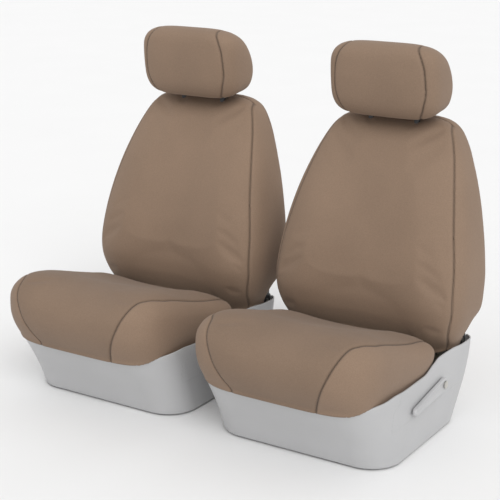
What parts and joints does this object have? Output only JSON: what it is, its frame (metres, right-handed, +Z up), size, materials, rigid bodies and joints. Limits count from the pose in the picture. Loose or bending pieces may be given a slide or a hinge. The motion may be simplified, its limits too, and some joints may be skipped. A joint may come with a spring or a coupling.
{
  "type": "seat cover set",
  "caption": "Sewn fabric covers for the cushion, backrest and headrest of a pair of truck bucket seats, fitted on the seats, which slide, recline and raise their headrests.",
  "frame": {"origin": "middle of the set's bounding box, on the floor plane under the rails", "axes": "+X to the driver's side, across the vehicle; -Y is where the seats face; +Z up"},
  "size_m": [1.228, 0.768, 1.0245],
  "materials": {
    "cover_fabric": "fine woven taupe fabric on a thin foam backing",
    "elastic_band": "woven elastic band",
    "webbing": "woven webbing with a plastic slider",
    "hook_and_loop": "hook and loop tape",
    "seat_foam": "moulded open-cell foam",
    "grey_plastic": "light grey moulded plastic, finely grained",
    "black_plastic": "black moulded plastic",
    "cable_sheath": "black plastic sheath over a steel cable",
    "black_steel": "black coated pressed steel",
    "zinc_steel": "zinc plated steel",
    "polished_steel": "polished steel rod"
  },
  "bodies": {
    "root": {"driver_lower_rails": "zinc_steel", "passenger_lower_rails": "zinc_steel"},
    "driver_base": {"driver_upper_rails": "zinc_steel", "driver_side_frames": "black_steel", "driver_cross_tubes": "black_steel", "driver_seat_pan": "black_steel", "driver_base_skirt": "grey_plastic", "driver_side_shield_outboard": "grey_plastic", "driver_side_shield_inboard": "grey_plastic", "driver_cushion_foam": "seat_foam", "driver_cushion_cover_middle": "cover_fabric", "driver_cushion_cover_sides": "cover_fabric", "driver_cushion_cover_hem": "elastic_band", "driver_cushion_cover_straps": "webbing", "driver_recline_shaft": "zinc_steel", "driver_recline_lever_pin": "zinc_steel", "driver_recline_cable": "cable_sheath"},
    "driver_backrest": {"driver_backrest_frame": "black_steel", "driver_backrest_springs": "zinc_steel", "driver_backrest_foam": "seat_foam", "driver_backrest_cover_front": "cover_fabric", "driver_backrest_cover_gusset": "cover_fabric", "driver_backrest_cover_back": "cover_fabric", "driver_backrest_cover_closures": "hook_and_loop", "driver_headrest_guides": "black_plastic"},
    "driver_headrest": {"driver_headrest_posts": "polished_steel", "driver_headrest_foam": "seat_foam", "driver_headrest_cover_band": "cover_fabric", "driver_headrest_cover_ends": "cover_fabric"},
    "driver_lever": {"driver_recline_lever": "grey_plastic"},
    "passenger_base": {"passenger_upper_rails": "zinc_steel", "passenger_side_frames": "black_steel", "passenger_cross_tubes": "black_steel", "passenger_seat_pan": "black_steel", "passenger_base_skirt": "grey_plastic", "passenger_side_shield_outboard": "grey_plastic", "passenger_side_shield_inboard": "grey_plastic", "passenger_cushion_foam": "seat_foam", "passenger_cushion_cover_middle": "cover_fabric", "passenger_cushion_cover_sides": "cover_fabric", "passenger_cushion_cover_hem": "elastic_band", "passenger_cushion_cover_straps": "webbing", "passenger_recline_shaft": "zinc_steel", "passenger_recline_lever_pin": "zinc_steel", "passenger_recline_cable": "cable_sheath"},
    "passenger_backrest": {"passenger_backrest_frame": "black_steel", "passenger_backrest_springs": "zinc_steel", "passenger_backrest_foam": "seat_foam", "passenger_backrest_cover_front": "cover_fabric", "passenger_backrest_cover_gusset": "cover_fabric", "passenger_backrest_cover_back": "cover_fabric", "passenger_backrest_cover_closures": "hook_and_loop", "passenger_headrest_guides": "black_plastic"},
    "passenger_headrest": {"passenger_headrest_posts": "polished_steel", "passenger_headrest_foam": "seat_foam", "passenger_headrest_cover_band": "cover_fabric", "passenger_headrest_cover_ends": "cover_fabric"},
    "passenger_lever": {"passenger_recline_lever": "grey_plastic"}
  },
  "joints": [
    {"name": "driver_fore_aft_slide", "type": "slide", "parent": "root", "child": "driver_base", "axis": [0, -1, 0], "range_m": [0, 0.18]},
    {"name": "driver_recline", "type": "hinge", "parent": "driver_base", "child": "driver_backrest", "pos_m": [0.32, 0.278, 0.206], "axis": [-1, 0, 0], "range_deg": [0, 40]},
    {"name": "driver_headrest_height", "type": "slide", "parent": "driver_backrest", "child": "driver_headrest", "axis": [0, 0.1132, 0.9936], "range_m": [0, 0.07]},
    {"name": "driver_recline_lever_lift", "type": "hinge", "parent": "driver_base", "child": "driver_lever", "pos_m": [0.594, 0.078, 0.15], "axis": [-1, 0, 0], "range_deg": [0, 15], "stiffness_Nm_per_rad": 1.2, "springref_deg": -20.05},
    {"name": "passenger_fore_aft_slide", "type": "slide", "parent": "root", "child": "passenger_base", "axis": [0, -1, 0], "range_m": [0, 0.18]},
    {"name": "passenger_recline", "type": "hinge", "parent": "passenger_base", "child": "passenger_backrest", "pos_m": [-0.32, 0.278, 0.206], "axis": [-1, 0, 0], "range_deg": [0, 40]},
    {"name": "passenger_headrest_height", "type": "slide", "parent": "passenger_backrest", "child": "passenger_headrest", "axis": [0, 0.1132, 0.9936], "range_m": [0, 0.07]},
    {"name": "passenger_recline_lever_lift", "type": "hinge", "parent": "passenger_base", "child": "passenger_lever", "pos_m": [-0.594, 0.078, 0.15], "axis": [-1, 0, 0], "range_deg": [0, 15], "stiffness_Nm_per_rad": 1.2, "springref_deg": -20.05}
  ]
}
